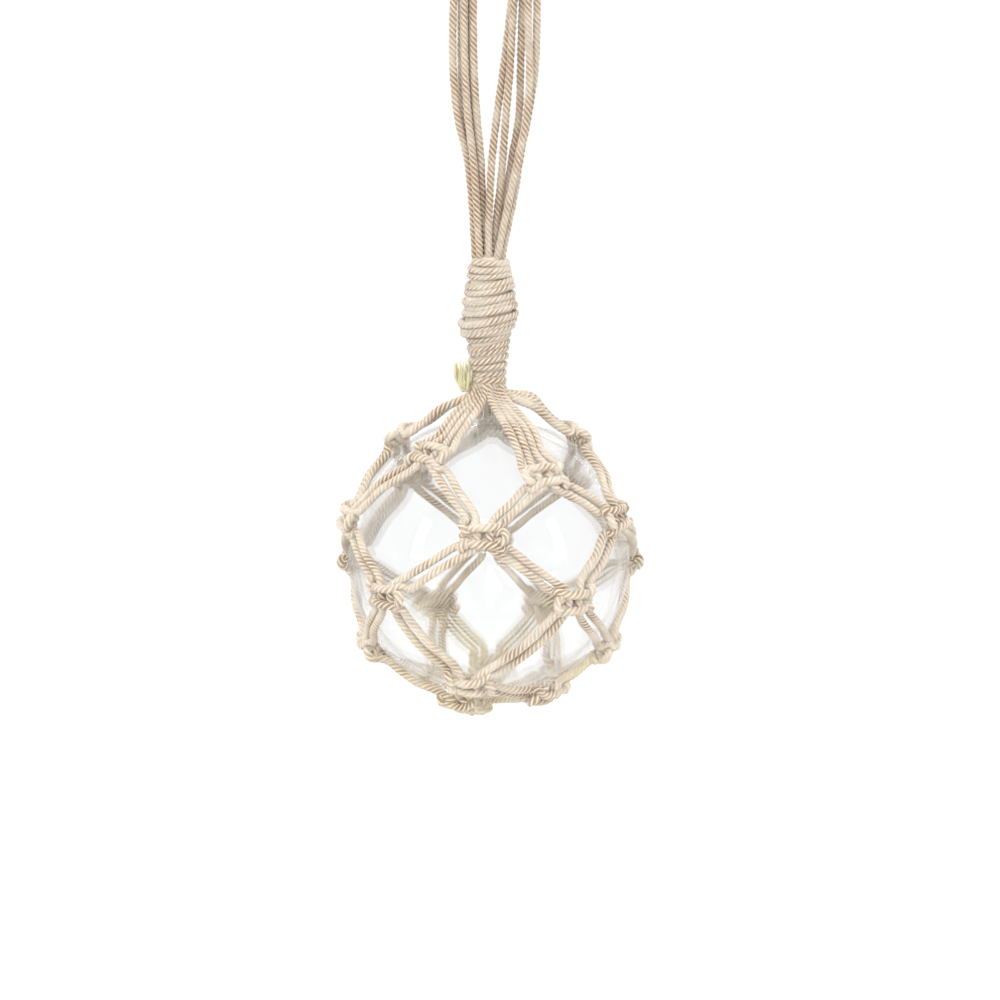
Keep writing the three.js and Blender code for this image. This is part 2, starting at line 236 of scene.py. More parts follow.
class CordSettings(bpy.types.PropertyGroup):
    """The twisted cotton cord that everything is tied from."""

    diameter: bpy.props.FloatProperty(
        name="Diameter", description="Thickness of the cord", default=0.0028, unit="LENGTH"
    )
    lay_length: bpy.props.FloatProperty(
        name="Lay", description="Length of cord in which a ply goes once round",
        default=0.0074, unit="LENGTH",
    )
    groove: bpy.props.FloatProperty(
        name="Groove", description="Depth between the loops' plies, as a share of the radius",
        default=0.3, subtype="FACTOR",
    )
    cotton: bpy.props.FloatVectorProperty(
        name="Cotton", description="Colour of the net's cord",
        default=(0.93, 0.83, 0.68), size=3, subtype="COLOR",
    )
    pale_cotton: bpy.props.FloatVectorProperty(
        name="Pale cotton", description="Colour of the whipping",
        default=(0.81, 0.72, 0.595), size=3, subtype="COLOR",
    )
    # Painted shade: the loops' cotton is the net's cord made darker, standing in for the dimmer
    # light that falls on the loops
    shaded_loop_cotton: bpy.props.FloatVectorProperty(
        name="Shaded loop cotton", description="Colour of the hanging loops",
        default=(0.765, 0.66, 0.53), size=3, subtype="COLOR",
    )
    # Painted shade and dirt: this colour is painted shade in the grooves between the plies, and
    # faint blotchy dirt all over the cord
    shade_and_dirt_colour: bpy.props.FloatVectorProperty(
        name="Shade and dirt colour", description="Colour of the painted shade and dirt between the plies",
        default=(0.33, 0.215, 0.125), size=3, subtype="COLOR",
    )
    yellowing: bpy.props.FloatVectorProperty(
        name="Yellowing", description="Colour of the old stains",
        default=(0.99, 0.88, 0.50), size=3, subtype="COLOR",
    )


class NetSettings(bpy.types.PropertyGroup):
    """How the net is tied round the ball."""

    knot_stretch: bpy.props.FloatProperty(
        name="Knot stretch", description="How much wider a knot is than a tight one",
        default=1.22,
    )
    leg_spread: bpy.props.FloatProperty(
        name="Leg spread", description="Between the two cords of a leg",
        default=0.0037, unit="LENGTH",
    )
    slack: bpy.props.FloatProperty(
        name="Slack", description="How far a cord strays sideways in a leg",
        default=0.0005, unit="LENGTH",
    )
    slack_swell: bpy.props.FloatProperty(
        name="Swell", description="How much thicker the cord is where nothing pulls it",
        default=1.07,
    )
    knot_swell: bpy.props.FloatProperty(
        name="Knot swell", description="How much thicker again the cord is in the knots",
        default=0.2,
    )
    knot_size: bpy.props.FloatProperty(
        name="Knot size", description="Size of a knot beside a tight one", default=1.14
    )
    groove: bpy.props.FloatProperty(
        name="Groove", description="Depth between the net's plies, as a share of the radius",
        default=0.26, subtype="FACTOR",
    )
    gather_radius: bpy.props.FloatProperty(
        name="Gather", description="Radius of the coil that gathers the cords under the ball",
        default=0.0034, unit="LENGTH",
    )
    stray_fibres: bpy.props.IntProperty(
        name="Stray fibres", description="Loose fibres for each metre of cord", default=110
    )


class WhippingSettings(bpy.types.PropertyGroup):
    """The cord wound round the neck."""

    turns: bpy.props.IntProperty(name="Turns", description="Turns round the neck", default=18)
    waist: bpy.props.FloatProperty(
        name="Waist", description="Outside radius at both ends", default=0.0070, unit="LENGTH"
    )
    bulge: bpy.props.FloatProperty(
        name="Bulge", description="How far the middle turns stand out",
        default=0.0033, unit="LENGTH",
    )
    lean: bpy.props.FloatProperty(
        name="Lean", description="How far the turns rise to the right",
        default=math.radians(14), subtype="ANGLE",
    )
    groove: bpy.props.FloatProperty(
        name="Groove", description="Depth between the whipping's plies, as a share of the radius",
        default=0.24, subtype="FACTOR",
    )


class StageSettings(bpy.types.PropertyGroup):
    """Camera, light and floor."""

    elevation: bpy.props.FloatProperty(
        name="Elevation", description="Camera above the ball",
        default=math.radians(13), subtype="ANGLE",
    )
    distance: bpy.props.FloatProperty(
        name="Distance", description="Camera to the ball", default=0.985, unit="LENGTH"
    )
    floor_drop: bpy.props.FloatProperty(
        name="Floor", description="Floor below the hook", default=0.62, unit="LENGTH"
    )
    key_power: bpy.props.FloatProperty(
        name="Key light", description="Power of the big soft light", default=6.4, unit="POWER"
    )


class NetFloatSettings(bpy.types.PropertyGroup):
    """All the sizes and colours of the net float."""

    glass: bpy.props.PointerProperty(name="Glass", description="Glass ball", type=GlassSettings)
    cord: bpy.props.PointerProperty(name="Cord", description="Cotton cord", type=CordSettings)
    net: bpy.props.PointerProperty(name="Net", description="Rope net", type=NetSettings)
    whipping: bpy.props.PointerProperty(name="Whipping", description="Neck", type=WhippingSettings)
    stage: bpy.props.PointerProperty(
        name="Stage", description="Camera and light", type=StageSettings
    )


def settings():
    return bpy.context.scene.net_float


# Lines that cords follow


def distance_along(line):
    """How far along the line each of its points is."""
    return np.concatenate([[0], np.cumsum(np.linalg.norm(np.diff(line, axis=0), axis=1))])


def even_steps(line, spacing):
    """The same line with its points that far apart."""
    along = distance_along(line)
    count = max(3, round(along[-1] / spacing)) + 1
    places = np.linspace(0, along[-1], count)
    return np.stack([np.interp(places, along, line[:, k]) for k in range(3)], axis=1)


def smooth_line(points, spacing=0.001):
    """A smooth curve through the points, in even steps."""
    before = 2 * np.array(points[0]) - points[1]
    after = 2 * np.array(points[-1]) - points[-2]
    p = np.array([before, *points, after])
    t = np.concatenate([[0], np.cumsum(np.sqrt(np.linalg.norm(np.diff(p, axis=0), axis=1)))])
    line = []
    for i in range(1, len(p) - 2):
        at = np.linspace(t[i], t[i + 1], 14, endpoint=False)[:, None]

        def mix(a, b, ta, tb):
            return ((tb - at) * a + (at - ta) * b) / (tb - ta)

        a1 = mix(p[i - 1], p[i], t[i - 1], t[i])
        a2 = mix(p[i], p[i + 1], t[i], t[i + 1])
        a3 = mix(p[i + 1], p[i + 2], t[i + 1], t[i + 2])
        b1 = mix(a1, a2, t[i - 1], t[i + 1])
        b2 = mix(a2, a3, t[i], t[i + 2])
        line.append(mix(b1, b2, t[i], t[i + 1]))
    line.append(p[-2][None])
    return even_steps(np.concatenate(line), spacing)


def line_length(line):
    """The length of the whole line."""
    return float(np.linalg.norm(np.diff(line, axis=0), axis=1).sum())


def sections(line):
    """Two directions across the line at each of its points, turning as little as they can."""
    ahead = np.gradient(line, axis=0)
    ahead /= np.linalg.norm(ahead, axis=1)[:, None]
    side = np.cross(ahead[0], (0.31, 0.87, 0.38))
    sides = []
    for forward in ahead:
        side = side - forward * side.dot(forward)
        side /= np.linalg.norm(side)
        sides.append(side)
    sides = np.array(sides)
    return sides, np.cross(ahead, sides), ahead


def over_ball(azimuth, latitude, height):
    """A point above the glass, from its azimuth and latitude in degrees."""
    a, b = math.radians(azimuth), math.radians(latitude)
    out = np.array((math.sin(a) * math.cos(b), -math.cos(a) * math.cos(b), math.sin(b)))
    return ball_centre + out * (settings().glass.diameter / 2 + height)


def in_knot(place, across, up, height):
    """A point near a knot: across to the right, up along the glass, and above the glass."""
    radius = settings().glass.diameter / 2
    out = (over_ball(*place, 0) - ball_centre) / radius
    a = math.radians(place[0])
    right = np.array((math.cos(a), math.sin(a), 0))
    lift = np.cross(out, right)
    direction = out * radius + right * across + lift * up
    return ball_centre + direction / np.linalg.norm(direction) * (radius + height)


# Cords as twisted tubes


class CordMesh:
    """Collects tubes, and becomes one mesh object."""

    def __init__(self, seed, groove):
        self.points, self.faces = [], []
        self.lay, self.depth, self.stain = [], [], []
        self.count = 0
        self.groove = groove
        self.random = random.Random(seed)

    def add(self, line, radius=None, plies=PLIES, sides=CORD_SIDES, stain=0.0, taper=0.0):
        """A tube along the line. With plies it is a twisted cord, without them a plain one."""
        cord = settings().cord
        radius = cord.diameter / 2 if radius is None else radius
        side, lift, ahead = sections(line)
        along = distance_along(line)
        angle = np.arange(sides) * 2 * math.pi / sides
        groove = np.zeros(sides)
        turned = np.zeros(len(line))
        if plies:
            within = (angle * plies / math.pi) % 2
            groove = np.minimum(within, 2 - within)
            turned = self.random.uniform(0, 6) - 2 * math.pi * along / cord.lay_length
        swell = 1 + WAVER * np.sin(along * WAVER_RATE + self.random.uniform(0, 6))
        swell *= 1 - taper * (along / along[-1]) ** 2
        reach = (radius * swell)[:, None] * (1 - self.groove * groove**GROOVE_SHAPE)[None, :]
        turn = angle[None, :] + turned[:, None]
        ring = line[:, None, :] + (reach * np.cos(turn))[..., None] * side[:, None, :]
        ring = ring + (reach * np.sin(turn))[..., None] * lift[:, None, :]
        rings, first = len(line), self.count
        offset = self.random.uniform(0, 500)
        lay = np.zeros((rings, sides, 3))
        lay[..., 0], lay[..., 1] = np.cos(angle), np.sin(angle)
        lay[..., :2] *= np.mean(radius) * 2 / cord.diameter
        lay[..., 2] = (along * 2 / cord.diameter + offset)[:, None]
        cap = np.mean(radius) * CAP_HEIGHT
        self.points.append(ring.reshape(-1, 3))
        self.points += [line[:1] - ahead[:1] * cap, line[-1:] + ahead[-1:] * cap]
        self.lay += [lay.reshape(-1, 3), lay[0, :1] * (0, 0, 1), lay[-1, :1] * (0, 0, 1)]
        self.depth.append(np.concatenate([np.tile(groove, rings), [CAP_DEPTH, CAP_DEPTH]]))
        yellow = stain_at(ring.reshape(-1, 3))
        self.stain.append(np.concatenate([np.maximum(yellow, stain), [stain, stain]]))
        k = np.arange(sides)
        after = (k + 1) % sides
        for i in range(rings - 1):
            a = first + i * sides
            b = a + sides
            self.faces += np.stack([a + k, a + after, b + after, b + k], axis=1).tolist()
        start, end = first + rings * sides, first + rings * sides + 1
        last = first + (rings - 1) * sides
        self.faces += [[start, first + int(b), first + int(a)] for a, b in zip(k, after)]
        self.faces += [[end, last + int(a), last + int(b)] for a, b in zip(k, after)]
        self.count += rings * sides + 2

    def stray_fibres(self, lines):
        """Fine loose fibres that stand off the cords."""
        radius = settings().cord.diameter / 2
        for line in lines:
            side, lift, ahead = sections(line)
            for _ in range(int(line_length(line) * settings().net.stray_fibres)):
                i = self.random.randrange(1, len(line) - 1)
                turn = self.random.uniform(0, 2 * math.pi)
                out = math.cos(turn) * side[i] + math.sin(turn) * lift[i]
                if out.dot(line[i] - ball_centre) < -0.2 * np.linalg.norm(line[i] - ball_centre):
                    continue
                drift = ahead[i] * self.random.choice((-1, 1))
                drift += np.cross(out, ahead[i]) * self.random.uniform(-FIBRE_SLANT, FIBRE_SLANT)
                size = self.random.uniform(*FIBRE_LENGTHS)
                rise = self.random.uniform(*FIBRE_RISES)
                share = np.linspace(0, 1, 5)[:, None]
                bend = share * drift * size + np.sin(share * 2.2) * out * size * rise
                fibre = line[i] + out * radius * 0.8 + bend
                self.add(fibre, radius=STRAY_FIBRE_RADIUS, plies=0, sides=3)

    def to_object(self, name, material):
        """All the tubes as one object."""
        mesh = bpy.data.meshes.new(name)
        mesh.from_pydata(np.concatenate(self.points).tolist(), [], self.faces)
        lay = mesh.attributes.new("cord_lay", "FLOAT_VECTOR", "POINT")
        lay.data.foreach_set("vector", np.concatenate(self.lay).astype(np.float32).ravel())
        for title, values in (("groove_depth", self.depth), ("yellowing", self.stain)):
            attribute = mesh.attributes.new(title, "FLOAT", "POINT")
            attribute.data.foreach_set("value", np.concatenate(values).astype(np.float32))
        mesh.polygons.foreach_set("use_smooth", [True] * len(mesh.polygons))
        mesh.materials.append(material)
        mesh.update()
        piece = bpy.data.objects.new(name, mesh)
        bpy.context.collection.objects.link(piece)
        return piece


def stain_at(points):
    """How yellow the stains make each point, from 0 to 1."""
    yellow = np.zeros(len(points))
    for middle, spread, strength in STAINS:
        away = np.linalg.norm(points - np.array(middle), axis=1) / spread
        yellow = np.maximum(yellow, strength * np.exp(-(away**2)))
    return yellow


# Materials


def node(tree, kind, place, **values):
    """A new node of the tree, with its settings."""
    made = tree.nodes.new(kind)
    made.location = place
    for title, value in values.items():
        setattr(made, title, value)
    return made


def map_range(tree, place, low, high, to_low, to_high):
    """A node that maps low to high onto the other two values."""
    made = node(tree, "ShaderNodeMapRange", place)
    titles = ("From Min", "From Max", "To Min", "To Max")
    for title, value in zip(titles, (low, high, to_low, to_high)):
        made.inputs[title].default_value = value
    return made


def noise(tree, place, scale, detail):
    """A node of noise."""
    made = node(tree, "ShaderNodeTexNoise", place)
    made.inputs["Scale"].default_value = scale
    made.inputs["Detail"].default_value = detail
    return made


def twisted_cotton_group():
    """Colour, roughness and height of twisted cotton, from the cord's own attributes."""
    found = bpy.data.node_groups.get("Twisted Cotton")
    if found:
        return found
    group = bpy.data.node_groups.new("Twisted Cotton", "ShaderNodeTree")
    for title, way, kind in (
        ("Cotton", "INPUT", "Color"), ("Shade and dirt colour", "INPUT", "Color"),
        ("Yellowing", "INPUT", "Color"), ("Shade and dirt amount", "INPUT", "Float"),
        ("Colour", "OUTPUT", "Color"), ("Roughness", "OUTPUT", "Float"),
        ("Height", "OUTPUT", "Float"),
    ):
        group.interface.new_socket(title, in_out=way, socket_type=f"NodeSocket{kind}")
    link = group.links.new
    given = node(group, "NodeGroupInput", (-1200, 0))
    lay = node(group, "ShaderNodeAttribute", (-1200, -300), attribute_name="cord_lay")
    groove = node(group, "ShaderNodeAttribute", (-1200, -500), attribute_name="groove_depth")
    yellowing = node(group, "ShaderNodeAttribute", (-1200, -700), attribute_name="yellowing")
    place = node(group, "ShaderNodeTexCoord", (-1200, -900))

    stretch = node(group, "ShaderNodeMapping", (-1000, -300))
    stretch.inputs["Scale"].default_value = (6.5, 6.5, 0.55)
    link(lay.outputs["Vector"], stretch.inputs["Vector"])
    fibre = noise(group, (-800, -300), 1.0, 4.0)
    fibre.inputs["Roughness"].default_value = 0.65
    link(stretch.outputs["Vector"], fibre.inputs["Vector"])

    blotch = noise(group, (-800, -900), 85.0, 3.0)
    link(place.outputs["Object"], blotch.inputs["Vector"])

    # Painted shade, with some dirt: the deeper a point lies in a groove between the plies, the
    # more of the shade and dirt colour it gets; the 0.1 added is faint blotchy dirt all over the
    # cord
    deep = node(group, "ShaderNodeMath", (-800, -500), operation="POWER")
    deep.inputs[1].default_value = 1.3
    link(groove.outputs["Fac"], deep.inputs[0])
    shade_and_dirt = node(group, "ShaderNodeMath", (-600, -500), operation="MULTIPLY_ADD")
    shade_and_dirt.inputs[2].default_value = 0.1
    link(deep.outputs[0], shade_and_dirt.inputs[0])
    link(given.outputs["Shade and dirt amount"], shade_and_dirt.inputs[1])
    speck = map_range(group, (-600, -700), 0.38, 0.66, 0.3, 1.45)
    link(blotch.outputs["Fac"], speck.inputs["Value"])
    shade_and_dirt_mask = node(group, "ShaderNodeMath", (-400, -500), operation="MULTIPLY", use_clamp=True)
    link(shade_and_dirt.outputs[0], shade_and_dirt_mask.inputs[0])
    link(speck.outputs["Result"], shade_and_dirt_mask.inputs[1])

    thread = map_range(group, (-600, -250), 0.3, 0.7, 0.64, 1.22)
    link(fibre.outputs["Fac"], thread.inputs["Value"])
    aged = map_range(group, (-600, -1050), 0.3, 0.7, 0.84, 1.1)
    link(blotch.outputs["Fac"], aged.inputs["Value"])
    shade = node(group, "ShaderNodeMath", (-400, -250), operation="MULTIPLY")
    link(thread.outputs["Result"], shade.inputs[0])
    link(aged.outputs["Result"], shade.inputs[1])

    stained = node(group, "ShaderNodeMix", (-400, 100), data_type="RGBA")
    link(yellowing.outputs["Fac"], stained.inputs["Factor"])
    link(given.outputs["Cotton"], stained.inputs["A"])
    link(given.outputs["Yellowing"], stained.inputs["B"])
    toned = node(group, "ShaderNodeVectorMath", (-200, 0), operation="SCALE")
    link(stained.outputs["Result"], toned.inputs["Vector"])
    link(shade.outputs[0], toned.inputs["Scale"])
    # The cotton mixed with the painted groove shade and the dirt
    colour = node(group, "ShaderNodeMix", (0, 0), data_type="RGBA")
    link(shade_and_dirt_mask.outputs[0], colour.inputs["Factor"])
    link(toned.outputs["Vector"], colour.inputs["A"])
    link(given.outputs["Shade and dirt colour"], colour.inputs["B"])

    rough = map_range(group, (0, -300), 0.0, 1.0, 0.82, 0.98)
    link(fibre.outputs["Fac"], rough.inputs["Value"])
    out = node(group, "NodeGroupOutput", (200, 0))
    link(colour.outputs["Result"], out.inputs["Colour"])
    link(rough.outputs["Result"], out.inputs["Roughness"])
    link(fibre.outputs["Fac"], out.inputs["Height"])
    return group


def cotton_material(name, cotton, shade_and_dirt):
    """Twisted cotton of one colour, with painted shade and some dirt between its plies."""
    made = bpy.data.materials.new(name)
    made.use_nodes = True
    tree = made.node_tree
    shader = tree.nodes["Principled BSDF"]
    shader.inputs["Sheen Weight"].default_value = 0.35
    shader.inputs["Sheen Roughness"].default_value = 0.6
    shader.inputs["Specular IOR Level"].default_value = 0.2
    shader.inputs["Subsurface Weight"].default_value = 0.35
    shader.inputs["Subsurface Radius"].default_value = (1.0, 0.62, 0.35)
    shader.inputs["Subsurface Scale"].default_value = 0.0012
    twist = node(tree, "ShaderNodeGroup", (-500, 0), node_tree=twisted_cotton_group())
    cord = settings().cord
    twist.inputs["Cotton"].default_value = (*cotton, 1)
    twist.inputs["Shade and dirt colour"].default_value = (*cord.shade_and_dirt_colour, 1)
    twist.inputs["Yellowing"].default_value = (*cord.yellowing, 1)
    twist.inputs["Shade and dirt amount"].default_value = shade_and_dirt
    bump = node(tree, "ShaderNodeBump", (-250, -300))
    bump.inputs["Strength"].default_value = 1.0
    bump.inputs["Distance"].default_value = 0.0005
    tree.links.new(twist.outputs["Colour"], shader.inputs["Base Color"])
    tree.links.new(twist.outputs["Roughness"], shader.inputs["Roughness"])
    tree.links.new(twist.outputs["Height"], bump.inputs["Height"])
    tree.links.new(bump.outputs["Normal"], shader.inputs["Normal"])
    return made


def glass_material():
    """Clear glass with a faint film and slow waves."""
    made = bpy.data.materials.new("clear_blown_glass")
    made.use_nodes = True
    tree = made.node_tree
    shader = tree.nodes["Principled BSDF"]
    shader.inputs["Base Color"].default_value = (*settings().glass.tint, 1)
    shader.inputs["Transmission Weight"].default_value = 1.0
    # The ball is hollow, so its thin wall hardly bends the view; the shine is the coat's
    shader.inputs["IOR"].default_value = 1.03
    shader.inputs["Coat Weight"].default_value = 1.0
    shader.inputs["Coat Roughness"].default_value = 0.02
    shader.inputs["Alpha"].default_value = 0.4
    place = node(tree, "ShaderNodeTexCoord", (-900, 0))
    wave = noise(tree, (-700, -200), 26.0, 1.0)
    film = noise(tree, (-700, 100), 60.0, 4.0)
    rough = map_range(tree, (-450, 100), 0.5, 0.8, 0.0, 0.05)
    bump = node(tree, "ShaderNodeBump", (-250, -200))
    bump.inputs["Strength"].default_value = 0.12
    bump.inputs["Distance"].default_value = 0.001
    tree.links.new(place.outputs["Object"], wave.inputs["Vector"])
    tree.links.new(place.outputs["Object"], film.inputs["Vector"])
    tree.links.new(film.outputs["Fac"], rough.inputs["Value"])
    tree.links.new(rough.outputs["Result"], shader.inputs["Roughness"])
    tree.links.new(wave.outputs["Fac"], bump.inputs["Height"])
    tree.links.new(bump.outputs["Normal"], shader.inputs["Normal"])
    return made


def finish_piece(piece, slot, *nodes):
    """Hangs the piece under the root body, and hides the solids that it stands for."""
    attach(piece, "root")
    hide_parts(*nodes)


# The net


def knot_below(row, knot, lane):
    """The knot that a cord runs to in the next row, and its lane there."""
    count = len(KNOT_ROWS[row])
    if lane < 2:
        return ((knot - 1) % count if row % 2 == 0 else knot), lane + 2
    return (knot if row % 2 == 0 else (knot + 1) % count), lane - 2


def knot_passage(place, lane):
    """Points of one of a knot's four cords: the outer two tie it, the inner two run through."""
    size = settings().cord.diameter * settings().net.knot_size
    bend_on_left = place[0] > 0
    if lane in (1, 2):
        route, mirror = FILLER_CORD, lane == 1
    elif bend_on_left:
        route, mirror = (BAR_CORD, False) if lane == 0 else (BEHIND_CORD, False)
    else:
        route, mirror = (BEHIND_CORD, True) if lane == 0 else (BAR_CORD, True)
    stretch = settings().net.knot_stretch * (-1 if mirror else 1)
    return [in_knot(place, u * size * stretch, v * size, w * size) for u, v, w in route]


def leg_points(upper, lower, left_cord, stray):
    """Points of a cord on its way between two knots, beside the leg's other cord."""
    a, b = over_ball(*upper, 0) - ball_centre, over_ball(*lower, 0) - ball_centre
    a, b = a / np.linalg.norm(a), b / np.linalg.norm(b)
    rightward = np.cross(a, b)
    span = math.asin(np.linalg.norm(rightward))
    rightward /= np.linalg.norm(rightward)
    spread = settings().net.leg_spread / 2 * (-1 if left_cord else 1)
    height = settings().glass.diameter / 2 + settings().cord.diameter * 0.54
    points = []
    for share in (0.21, 0.5, 0.79):
        outward = math.sin((1 - share) * span) * a + math.sin(share * span) * b
        outward /= math.sin(span)
        aside = spread + stray * math.sin(math.pi * share)
        points.append(ball_centre + outward * height + rightward * aside)
    return points


def from_axis(azimuth, out, z):
    """A point that far out from the neck's axis."""
    return np.array((out * math.sin(azimuth), -out * math.cos(azimuth), z))


def net_line(knot, lane, chance):
    """One cord of the net, from inside the neck through five knots to the gather."""
    cord = settings().cord.diameter
    place = KNOT_ROWS[0][knot]
    # Beside the leg's middle, in cords
    side = lane - 1.5
    azimuth = math.radians(place[0] + side * NECK_FAN)
    deep = INNER_DEPTH if lane in (1, 2) else OUTER_DEPTH
    points = []
    for rise, out in ((0.012, 0.0026), (0.004, deep), (-0.0015, deep + 0.0016)):
        points.append(from_axis(azimuth, out, whipping_low.z + rise))
    bow = NECK_BOWS[knot] * (0.45 + 0.22 * lane)
    for up, height, share in ((0.0185, 1.45, 1.0), (0.0105, 0.72, 0.5)):
        points.append(in_knot(place, side * cord * 1.05, up, cord * height + bow * share))
    row = 0
    while True:
        points += knot_passage(place, lane)
        if row == len(KNOT_ROWS) - 1:
            break
        knot, new_lane = knot_below(row, knot, lane)
        row += 1
        below = KNOT_ROWS[row][knot]
        stray = chance.uniform(-1, 1) * settings().net.slack
        points += leg_points(place, below, lane in (0, 2), stray)
        place, lane = below, new_lane
    # From the last knot to the gather
    side = lane - 1.5
    points.append(in_knot(place, side * cord * 0.95, -0.0105, cord * 0.55))
    gather = gather_middle()
    azimuth = math.radians(place[0] + side * GATHER_FAN)
    for out, drop in ((0.0052, 0.0002), (0.0026, -0.0016), (0.0018, -0.0052)):
        points.append(gather + from_axis(azimuth, out, drop))
    return smooth_line(points, spacing=NET_STEP)


def net_radius(line):
    """Half the cord's thickness along the line. It is thickest in the knots."""
    knots = np.array([over_ball(*place, KNOT_HEIGHT) for row in KNOT_ROWS for place in row])
    away = np.linalg.norm(line[:, None, :] - knots[None, :, :], axis=2).min(axis=1)
    s = settings().net
    swell = s.slack_swell + s.knot_swell * np.exp(-((away / KNOT_REACH) ** 2))
    return settings().cord.diameter / 2 * swell


def gather_middle():
    """Where the cords are gathered under the ball, a little to the front left."""
    low = ball_centre[2] - settings().glass.diameter / 2
    return np.array((*GATHER_PLACE, low - settings().cord.diameter * 0.6))


def gather_coil():
    """The cord tied round the gathered ends under the ball."""
    radius = settings().net.gather_radius
    steps, steps_in_half_turn = 26, 5
    points = []
    for i in range(steps + 1):
        turn, share = i * math.pi / steps_in_half_turn, i / steps
        out = radius * (1 + 0.12 * math.sin(3 * turn))
        drop = -0.0008 - 0.0042 * share
        points.append(gather_middle() + (out * math.cos(turn), out * math.sin(turn), drop))
    return smooth_line(points)


class NETFLOAT_OT_rope_net(bpy.types.Operator):
    """Ties the rope net round the ball"""

    bl_idname = "netfloat.rope_net"
    bl_label = "Rope net"
    bl_options = {"REGISTER", "UNDO"}

    def execute(self, context):
        s = context.scene.net_float
        chance = random.Random(SLACK_SEED)
        net = CordMesh(NET_SEED, s.net.groove)
        lines = []
        for knot in range(len(KNOT_ROWS[0])):
            lines += [net_line(knot, lane, chance) for lane in range(4)]
        lines.append(gather_coil())
        for line in lines:
            net.add(line, radius=net_radius(line), sides=NET_SIDES)
        # The bundle of cords inside the whipping, which is hidden
        core = np.array([(0, 0, whipping_low.z + 0.004), (0, 0, whipping_high.z - 0.0004)])
        net.add(even_steps(core, 0.003), radius=0.0045, plies=0, sides=20)
        net.stray_fibres(lines)
        material = cotton_material("net_cotton", s.cord.cotton, NET_SHADE_AND_DIRT)
        finish_piece(net.to_object("knotted_net", material), "net_cord", "rope_net")
        return {"FINISHED"}


# The neck


def whipping_radius(share):
    """Outer radius of the whipping, where share is 0 at its top and 1 at its bottom."""
    s = settings().whipping
    return s.waist + s.bulge * np.exp(-(((share - BULGE_MIDDLE) / BULGE_REACH) ** 2))


def whipping_line():
    """One cord wound round the neck from the top to the bottom."""
    s, cord = settings().whipping, settings().cord.diameter
    chance = random.Random(TURNS_SEED)
    steps = 30
    total = s.turns * steps
    strays = [chance.uniform(-1, 1) for _ in range(s.turns + 2)]
    rises = [chance.uniform(-1, 1) for _ in range(s.turns + 2)]
    height = whipping_high.z - whipping_low.z - cord
    points = []
    for i in range(total + 1):
        share, turn = i / total, i / steps
        whole, part = int(turn), turn - int(turn)
        stray = strays[whole] * (1 - part) + strays[whole + 1] * part
        rise = rises[whole] * (1 - part) + rises[whole + 1] * part
        out = whipping_radius(share) - cord / 2 + stray * TURN_STRAY
        angle = FIRST_TURN + 2 * math.pi * turn
        steady = min(1, LEVEL_PART * share, LEVEL_PART * (1 - share))
        lean = math.tan(s.lean) * out * math.sin(angle) * steady
        z = whipping_high.z - cord / 2 - share * height + lean + rise * TURN_RISE * steady
        points.append(from_axis(angle, out, z))
    return even_steps(np.array(points), WHIPPING_STEP)


def frayed_end(whipping, turns):
    """Adds the yellow end of the whipping's cord, which has come apart into a tuft."""
    chance = random.Random(TUFT_SEED)
    root = np.array(TUFT_ROOT) + (0, 0, whipping_low.z)
    tip = np.array(TUFT_TIP) + (0, 0, whipping_low.z)
    bend = (turns[-8] + root) / 2 + (0, -0.0006, 0)
    whipping.add(smooth_line([turns[-8], bend, root, root * 0.6 + tip * 0.4]), stain=0.9)
    for _ in range(TUFT_FIBRES):
        across, deep = chance.uniform(-1, 1), chance.uniform(-1, 1)
        start = root + (across * 0.0011, deep * 0.0009, chance.uniform(-0.0008, 0.0006))
        reach = chance.uniform(0.45, 1.1)
        spread = (across * 0.003 * reach, deep * 0.0014, chance.gauss(0, 0.0004))
        end = root + (tip - root) * reach + spread
        bow = (across * 0.0009 + chance.gauss(0, 0.0003), chance.gauss(0, 0.0004), 0)
        middle = start * 0.5 + end * 0.5 + bow
        whipping.add(
            smooth_line([start, middle, end]),
            radius=TUFT_FIBRE_RADIUS, plies=0, sides=5, stain=1.0, taper=0.5,
        )


def cut_end(turns):
    """The other end of the whipping's cord, which stands out from the middle of the neck."""
    foot = turns[int(len(turns) * CUT_END_PLACE)]
    out = foot * (1, 1, 0) / np.linalg.norm(foot[:2])
    middle = foot + out * 0.0008 + (0, -0.002, 0.0003)
    return smooth_line([foot, middle, foot + out * 0.002 + (0, -0.0045, -0.0003)])


class NETFLOAT_OT_whipping(bpy.types.Operator):
    """Winds the whipping round the neck, with its frayed end"""

    bl_idname = "netfloat.whipping"
    bl_label = "Neck whipping"
    bl_options = {"REGISTER", "UNDO"}

    def execute(self, context):
        s = context.scene.net_float
        whipping = CordMesh(WHIPPING_SEED, s.whipping.groove)
        turns = whipping_line()
        along = np.linspace(0, s.whipping.turns, len(turns))
        uneven = 0.89 + 0.08 * np.sin(2.3 * along) + 0.06 * np.sin(5.9 * along + 1)
        whipping.add(turns, radius=s.cord.diameter / 2 * uneven)
        # An earlier layer of turns under the visible one, which is hidden
        share = np.linspace(0.03, 0.97, 40)
        inner = np.zeros((40, 3))
        inner[:, 2] = whipping_high.z + (whipping_low.z - whipping_high.z) * share
        inner_radius = whipping_radius(share) - s.cord.diameter * 0.68
        whipping.add(inner, radius=inner_radius, plies=0, sides=32)
        frayed_end(whipping, turns)
        whipping.add(cut_end(turns))
        whipping.stray_fibres([turns])
        material = cotton_material("whipping_cotton", s.cord.pale_cotton, WHIPPING_SHADE_AND_DIRT)
        piece = whipping.to_object("whipped_neck", material)
        finish_piece(piece, "whipping_cord", "neck_whipping")
        return {"FINISHED"}


# The hanging loops


